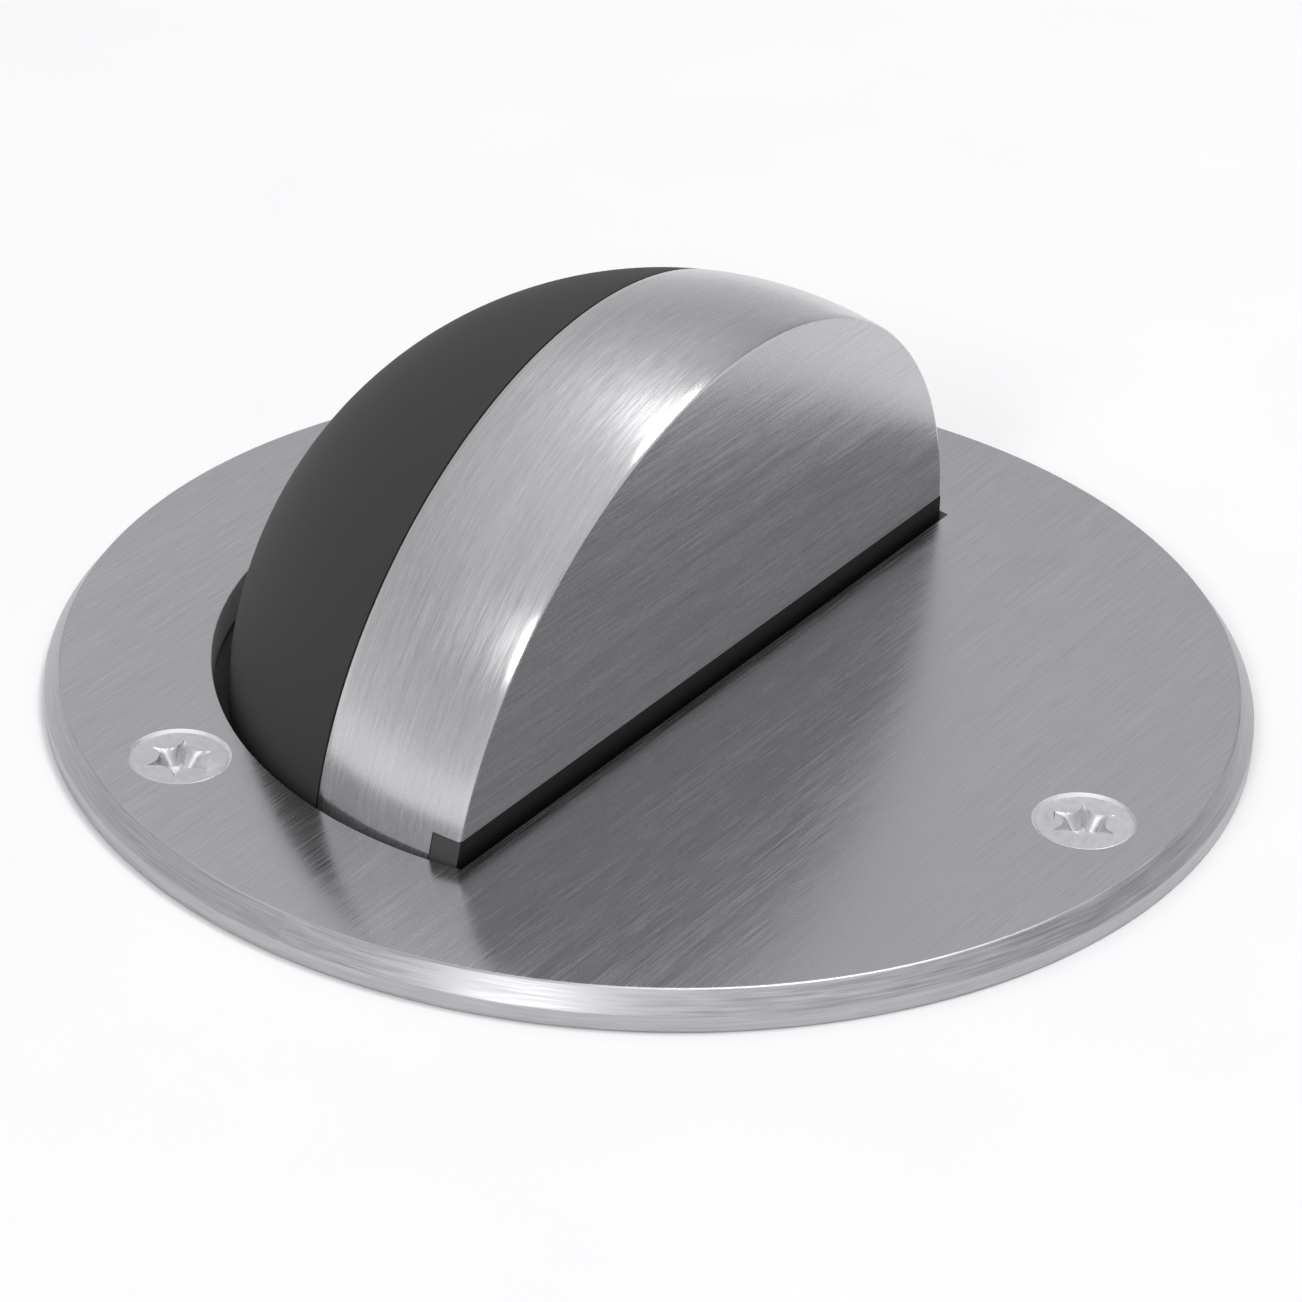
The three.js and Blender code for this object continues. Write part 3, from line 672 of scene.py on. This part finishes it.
BALL_R = 39.5
BALL_Z = -1.5
HEAD_BOTTOM = -12.2
LIP_Y = -7.0
LIP_DEPTH = 8.4
REAR_Y = -2.0
STAND_ANGLE = 94.5
JOINT_GAP = 0.1
STRIP_OUTLINE = [
    (6.8, PLATE_T),
    (-5.6, PLATE_T),
    (-5.6, 1.9),
    (3.6, 1.9),
    (3.6, 0.8),
    (6.8, 0.8),
]
REBATE_CORNERS = [(0, 0), (1, 0), (2, 1), (3, 0), (4, 1)]
BUSH_R = 2.6
BUSH_START = 31.3
CORE_SCREWS = [(-14.0, 8.0), (14.0, 8.0), (0.0, 18.0)]
TAP_R = 2.5
TAP_TOP = -4.7
FACE_EDGE = 0.3
FACE_EDGE_SHARE = 0.25
JOINT_EDGE = 0.14
JOINT_EDGE_SHARE = 0.3
SIDE_STEPS = 24
FACE_FROM = 0.9
FACE_DEPTH = 0.05

hinge = Vector((0.0, HINGE_Y, HINGE_Z))
standing = (
    to_metres
    @ Matrix.Translation(hinge)
    @ Matrix.Rotation(math.radians(STAND_ANGLE), 4, "X")
    @ Matrix.Translation(-hinge)
)


def ball_arc(radius, low, high, steps):
    """Points of the ball's side between two heights, drawn folded."""
    first = math.asin((low - BALL_Z) / radius)
    last = math.asin((high - BALL_Z) / radius)
    return [
        (
            radius * math.cos(first + (last - first) * i / steps),
            BALL_Z + radius * math.sin(first + (last - first) * i / steps),
        )
        for i in range(steps + 1)
    ]


def folded_place(tree, place):
    """Object coordinates turned back to the folded stop, from the ball's centre."""
    back = add(
        tree,
        "ShaderNodeMapping",
        {
            "Vector": place,
            "Location": tuple(hinge / 1000),
            "Rotation": (math.radians(STAND_ANGLE), 0.0, 0.0),
        },
        vector_type="TEXTURE",
    )
    return add(
        tree,
        "ShaderNodeVectorMath",
        {0: back.outputs[0], 1: ((hinge - Vector((0.0, 0.0, BALL_Z))) / 1000)},
        operation="ADD",
    ).outputs[0]


def aim_grain(tree, shader, way):
    """Turns a folded direction up with the stop and gives it to the shader as its tangent."""
    turned_up = add(
        tree,
        "ShaderNodeVectorRotate",
        {"Vector": way, "Axis": (1.0, 0.0, 0.0), "Angle": math.radians(STAND_ANGLE)},
        rotation_type="AXIS_ANGLE",
    )
    tree.links.new(to_world(tree, turned_up.outputs[0]), shader.inputs["Tangent"])


# Stainless brushed on the lathe: streaks run round the ball, so lights stretch across the band
# into bright fans. The scratches are drawn as coarse as the plate's.
band_steel, tree, shader, place = new_material("stainless_lathe_brushed")
shader.inputs["Metallic"].default_value = 1.0
shader.inputs["Anisotropic"].default_value = 0.75
local = folded_place(tree, place)
parts = add(tree, "ShaderNodeSeparateXYZ", {0: local}).outputs
angle = add(tree, "ShaderNodeMath", {0: parts["X"], 1: parts["Y"]}, operation="ARCTAN2")
round_way = add(
    tree, "ShaderNodeMath", {0: angle.outputs[0], 1: BALL_R / 1000}, operation="MULTIPLY"
)
out_way = add(tree, "ShaderNodeVectorMath", {0: local}, operation="LENGTH")
brush_place = add(
    tree,
    "ShaderNodeCombineXYZ",
    {"X": round_way.outputs[0], "Y": parts["Z"], "Z": out_way.outputs["Value"]},
)
brushing(tree, brush_place.outputs[0], shader, ("#c2c2c4", "#d4d4d5"), (0.22, 0.30), 0.0012, 30)
across = add(
    tree, "ShaderNodeVectorMath", {0: (0.0, 0.0, 1.0), 1: local}, operation="CROSS_PRODUCT"
)
upward = add(
    tree,
    "ShaderNodeVectorMath",
    {0: across.outputs[0], 1: local},
    operation="CROSS_PRODUCT",
)
aim_grain(tree, shader, upward.outputs[0])

# The same steel, belt-ground flat along X: fine streaks that lengthen what the face mirrors.
face_steel, tree, shader, place = new_material("stainless_face_ground")
shader.inputs["Metallic"].default_value = 1.0
shader.inputs["Anisotropic"].default_value = 0.6
local = folded_place(tree, place)
brushing(tree, local, shader, ("#b4b4b6", "#c8c8ca"), (0.21, 0.31), 0.0016, 60)
across_grain = add(tree, "ShaderNodeCombineXYZ", {"Y": 1.0}).outputs[0]
aim_grain(tree, shader, across_grain)

face_r = ball_arc(BALL_R, PLATE_T, PLATE_T, 1)[0][0]
joint_r = ball_arc(BALL_R, HEAD_BOTTOM, HEAD_BOTTOM, 1)[0][0]
joint_ease = JOINT_EDGE * JOINT_EDGE_SHARE
face_ease = FACE_EDGE * FACE_EDGE_SHARE
head_line = (
    [(0.0, HEAD_BOTTOM), (joint_r - JOINT_EDGE, HEAD_BOTTOM)]
    + [(joint_r - joint_ease, HEAD_BOTTOM + joint_ease)]
    + ball_arc(BALL_R, HEAD_BOTTOM + JOINT_EDGE, PLATE_T - FACE_EDGE, SIDE_STEPS)
    + [(face_r - face_ease, PLATE_T - face_ease)]
    + [(face_r - FACE_EDGE, PLATE_T), (0.0, PLATE_T)]
)
stop_head = turned("stop_head_steel", head_line, FINE)
far = 2 * BALL_R
cutters = [
    brick("lip", (-far, -far, -far), (far, LIP_Y, far)),
    brick("rear", (-far, -far, -far), (far, REAR_Y, PLATE_T - LIP_DEPTH)),
]
gap = JOINT_GAP / 2
top, end, shelf, key, root = (STRIP_OUTLINE[i][k] for i, k in REBATE_CORNERS)
rebate = [(top + gap, PLATE_T + OVERCUT), (end - gap, PLATE_T + OVERCUT)]
rebate += [(end - gap, shelf - gap), (key - gap, shelf - gap)]
rebate += [(key - gap, root - gap), (top + gap, root - gap)]
cutters.append(drawn_out("rebate", rebate, -far, far, along_x))
for side in (-1, 1):
    seat = rod(BUSH_R + gap, BUSH_START - JOINT_GAP, BALL_R + OVERCUT)
    cutters.append(about_x(turned("seat", seat, SMALL), side, HINGE_Y, HINGE_Z))
tap = rod(TAP_R, HEAD_BOTTOM - OVERCUT, TAP_TOP)
for x, y in CORE_SCREWS:
    cutters.append(moved(turned("tap", tap, SMALL), x, y))
cut(stop_head, cutters)
shaded(stop_head)
stop_head.data.materials.clear()
stop_head.data.materials.append(band_steel)
stop_head.data.materials.append(face_steel)
for face in stop_head.data.polygons:
    on_face = face.normal.z > FACE_FROM and face.center.z > PLATE_T - FACE_DEPTH
    face.material_index = 1 if on_face else 0
stop_head.data.transform(standing)
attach(stop_head, "stop")
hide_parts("stop_head")

# ---------------------------------------------------------------------------------------------
# Tread strip. An extruded black rubber section, pressed into the rebate of the flat face and
# held by its deeper rib. It covers the gap to the opening's straight edge.

STRIP_EASE = 0.12
END_FROM = 0.7

# The sawn ends have lost the smooth skin of the die and are flatter; their lighter dark grey is
# painted light, for the ends that face the lamp on the left.
sawn_rubber, tree, shader, place = new_material("rubber_sawn_grey")
crumb = noise(tree, place, (6000.0, 6000.0, 6000.0), 3.0)
painted(tree, shader, crumb, ("#414142", "#4e4e4f"))
shader.inputs["Roughness"].default_value = 0.85
embossed(tree, shader, crumb, 0.03, 0.5)

strip_corners = [point + (1.0,) for point in STRIP_OUTLINE]
strip_loop = rounded(strip_corners[-1:] + strip_corners + strip_corners[:1], STRIP_EASE)[1:-1]
tread_strip = drawn_out("tread_strip_rubber", strip_loop, -far, far, along_x)
ends = ball_arc(BALL_R - gap, HEAD_BOTTOM, PLATE_T, SIDE_STEPS)
ends = [(0.0, HEAD_BOTTOM)] + ends + [(0.0, PLATE_T)]
cut(tread_strip, [turned("strip_ends", ends, FINE)], "INTERSECT")
shaded(tread_strip)
tread_strip.data.materials.clear()
tread_strip.data.materials.append(strip_rubber)
tread_strip.data.materials.append(sawn_rubber)
# The ends take the lighter, painted-light copy of the rubber; the rest keeps the painted shade.
for face in tread_strip.data.polygons:
    face.material_index = 1 if abs(face.normal.x) > END_FROM else 0
tread_strip.data.transform(standing)
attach(tread_strip, "stop")
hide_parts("tread_strip")

# ---------------------------------------------------------------------------------------------
# Bushes. Two turned bearing-polymer bushes, pressed into the head, that run dry on the pivot
# screws.

# Turned bearing polymer with fillers: dull tan, with fine darker flecks.
bush_polymer, tree, shader, place = new_material("polymer_bearing_tan")
fleck = noise(tree, place, (2400.0, 2400.0, 2400.0), 3.0)
painted(tree, shader, fleck, ("#7c724f", "#978b65"), (0.4, 0.58))
for side_name in ("left", "right"):
    nodes["pivot_bush_" + side_name].data.materials[0] = bush_polymer

# ---------------------------------------------------------------------------------------------
# Core. Moulded in black glass-filled nylon, with three wells for the M5 cap screws that pull it
# up to the head, and a groove for the buffer's rib.

# Glass-filled nylon: black, greyed by the fibres that lie in its skin.
core_nylon, tree, shader, place = new_material("nylon_glass_filled")
fibre = noise(tree, place, (3000.0, 3000.0, 3000.0), 4.0)
painted(tree, shader, fibre, ("#242527", "#37383b"), (0.45, 0.7))
nodes["buffer_core"].data.materials[0] = core_nylon
for number in (1, 2, 3):
    nodes["core_screw_" + str(number)].data.materials[0] = tumbled

# ---------------------------------------------------------------------------------------------
# Buffer. A hollow moulded EPDM cap stretched over the nylon core, whose rib snaps into the
# core's groove. Its outside carries on the ball's round.

CORE_R = 31.4
GROOVE_TOP = -15.0
GROOVE_WIDTH = 3.0
GROOVE_INSET = 2.5
CORE_TOP = HEAD_BOTTOM - JOINT_GAP
RUBBER_EDGE = 0.2
RUBBER_EDGE_SHARE = 0.25
GROOVE_STEPS = 4
RUBBER_STEPS = 64

# Moulded EPDM, 70 Shore: matt dark grey with the mould's fine blasted grain, 0.2 mm, and a
# slow change of tone from handling.
moulded_rubber, tree, shader, place = new_material("rubber_moulded_grey")
blast = noise(tree, place, (5200.0, 5200.0, 5200.0), 2.0)
slow = noise(tree, place, (90.0, 90.0, 90.0), 3.0)
skin = blended(tree, 0.5, blast, slow)
painted(tree, shader, skin, ("#262627", "#323233"), (0.62, 0.82))
embossed(tree, shader, blast, 0.03, 0.5)


def core_line(radius, gap):
    """The buffer's inner line from the pole to the core's flat top, with the groove."""
    groove_top = GROOVE_TOP + gap
    groove_bottom = groove_top - GROOVE_WIDTH - 2 * gap
    lower = ball_arc(radius, BALL_Z - radius, groove_bottom, SIDE_STEPS)
    upper = ball_arc(radius, groove_top, CORE_TOP, GROOVE_STEPS)
    root = lower[-1][0] - GROOVE_INSET
    return lower + [(root, groove_bottom), (root, groove_top)] + upper


outer = ball_arc(BALL_R, BALL_Z - BALL_R, CORE_TOP - RUBBER_EDGE, RUBBER_STEPS)
top_r = ball_arc(BALL_R, CORE_TOP, CORE_TOP, 1)[0][0]
rubber_ease = RUBBER_EDGE * RUBBER_EDGE_SHARE
outer += [(top_r - rubber_ease, CORE_TOP - rubber_ease), (top_r - RUBBER_EDGE, CORE_TOP)]
rubber_line = outer + core_line(CORE_R + JOINT_GAP, -JOINT_GAP)[::-1]
buffer_rubber = turned("buffer_rubber_cap", rubber_line, FINE)
cut(buffer_rubber, [brick("rear", (-far, -far, -far), (far, REAR_Y, far))])
shaded(buffer_rubber)
buffer_rubber.data.materials.clear()
buffer_rubber.data.materials.append(moulded_rubber)
buffer_rubber.data.transform(standing)
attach(buffer_rubber, "stop")
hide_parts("buffer_rubber")

# ---------------------------------------------------------------------------------------------
# Floor. A plain pale studio floor with the hole that the pot drops into.

FLOOR_R = 2.5
FLOOR_HOLE_R = 0.052
FLOOR_STEPS = 96

# Matt white paint: even, with a faint slow change of tone and no gloss.
floor_paint, tree, shader, place = new_material("floor_pale_matt")
grit = noise(tree, place, (40.0, 40.0, 40.0), 2.0)
painted(tree, shader, grit, ("#f1f1f2", "#f5f5f5"))
shader.inputs["Roughness"].default_value = 0.9

shape = bmesh.new()
turns = [2 * math.pi * i / FLOOR_STEPS for i in range(FLOOR_STEPS)]
rings = [
    [shape.verts.new((radius * math.cos(turn), radius * math.sin(turn), 0)) for turn in turns]
    for radius in (FLOOR_HOLE_R, FLOOR_R)
]
for i in range(FLOOR_STEPS):
    k = (i + 1) % FLOOR_STEPS
    shape.faces.new((rings[0][i], rings[1][i], rings[1][k], rings[0][k]))
floor = made_object("floor", shape)
floor.data.materials.append(floor_paint)

# ---------------------------------------------------------------------------------------------
# Light. A pale room, brighter near the floor and overhead, darker on the side that the face
# mirrors, with two soft boxes.

LOW_TONE = (0.72, 0.72, 0.73, 1.0)
MIDDLE_TONE = (0.52, 0.52, 0.535, 1.0)
TOP_TONE = (0.85, 0.85, 0.86, 1.0)
MIDDLE_HEIGHT = 0.45
DARK_AZIMUTH = 48.0
DARK_ELEVATION = 32.0
DARK_LEVEL = 0.66
DARK_FADE = (0.55, 0.95)
LAMP_TARGET = (0, 0, 0.01)

world = bpy.data.worlds.new("studio")
bpy.context.scene.world = world
world.use_nodes = True
tree = world.node_tree
tree.nodes.clear()
way = add(tree, "ShaderNodeTexCoord").outputs["Generated"]
height = add(tree, "ShaderNodeSeparateXYZ", {0: way}).outputs["Z"]
ramp = add(tree, "ShaderNodeValToRGB", {0: height})
stops = ramp.color_ramp.elements
stops[0].color = LOW_TONE
stops[1].color = TOP_TONE
stops.new(MIDDLE_HEIGHT).color = MIDDLE_TONE


def direction(azimuth, elevation):
    """A unit vector; azimuth 0 points at -Y, in front of the stop."""
    turn, lift = math.radians(azimuth), math.radians(elevation)
    level = math.cos(lift)
    return Vector((math.sin(turn) * level, -math.cos(turn) * level, math.sin(lift)))


dark_way = tuple(direction(DARK_AZIMUTH, DARK_ELEVATION))
side = add(tree, "ShaderNodeVectorMath", {0: way, 1: dark_way}, operation="DOT_PRODUCT")
shade = add(
    tree,
    "ShaderNodeMapRange",
    {
        "Value": side.outputs["Value"],
        "From Min": DARK_FADE[0],
        "From Max": DARK_FADE[1],
        "To Min": 1.0,
        "To Max": DARK_LEVEL,
    },
    interpolation_type="SMOOTHSTEP",
)
sky = add(tree, "ShaderNodeBackground", {"Color": ramp.outputs[0], "Strength": shade.outputs[0]})
add(tree, "ShaderNodeOutputWorld", {"Surface": sky.outputs[0]})


def soft_box(name, azimuth, elevation, distance, size, watts):
    """A square lamp that looks at the stop."""
    data = bpy.data.lights.new(name, "AREA")
    data.shape = "SQUARE"
    data.size = size
    data.energy = watts
    lamp = bpy.data.objects.new(name, data)
    bpy.context.scene.collection.objects.link(lamp)
    way = direction(azimuth, elevation)
    lamp.location = way * distance + Vector(LAMP_TARGET)
    lamp.rotation_mode = "QUATERNION"
    lamp.rotation_quaternion = way.to_track_quat("Z", "Y")


soft_box("overhead", azimuth=55, elevation=74, distance=1.2, size=0.4, watts=5.8)
soft_box("left", azimuth=-78, elevation=33, distance=1.2, size=0.25, watts=2.6)

# ---------------------------------------------------------------------------------------------
# Camera. It looks down at the stop from the left of its flat face, with a long lens close by.

CAMERA_DISTANCE = 477.06
CAMERA_ELEVATION = 30.76
CAMERA_AZIMUTH = -56.45
CAMERA_ROLL = 2.18
LENS = 144.84
SHIFT_Y = 0.0031
SENSOR_WIDTH = 36.0
CLIP = (0.01, 20.0)

back = direction(CAMERA_AZIMUTH, CAMERA_ELEVATION)
level = Vector((0, 0, 1)).cross(back).normalized()
upright = back.cross(level)
roll = math.radians(CAMERA_ROLL)
right = math.cos(roll) * level + math.sin(roll) * upright
up = math.cos(roll) * upright - math.sin(roll) * level
camera_data = bpy.data.cameras.new("camera")
camera_data.lens = LENS
camera_data.sensor_width = SENSOR_WIDTH
camera_data.shift_y = SHIFT_Y
camera_data.clip_start, camera_data.clip_end = CLIP
camera = bpy.data.objects.new("camera", camera_data)
bpy.context.scene.collection.objects.link(camera)
camera.rotation_mode = "QUATERNION"
turn = Matrix((right, up, back)).transposed()
camera.rotation_quaternion = turn.to_quaternion()
camera.location = back * CAMERA_DISTANCE / 1000 + Vector((0, 0, PLATE_T / 1000))
bpy.context.scene.camera = camera
bpy.context.scene.view_settings.view_transform = "Standard"
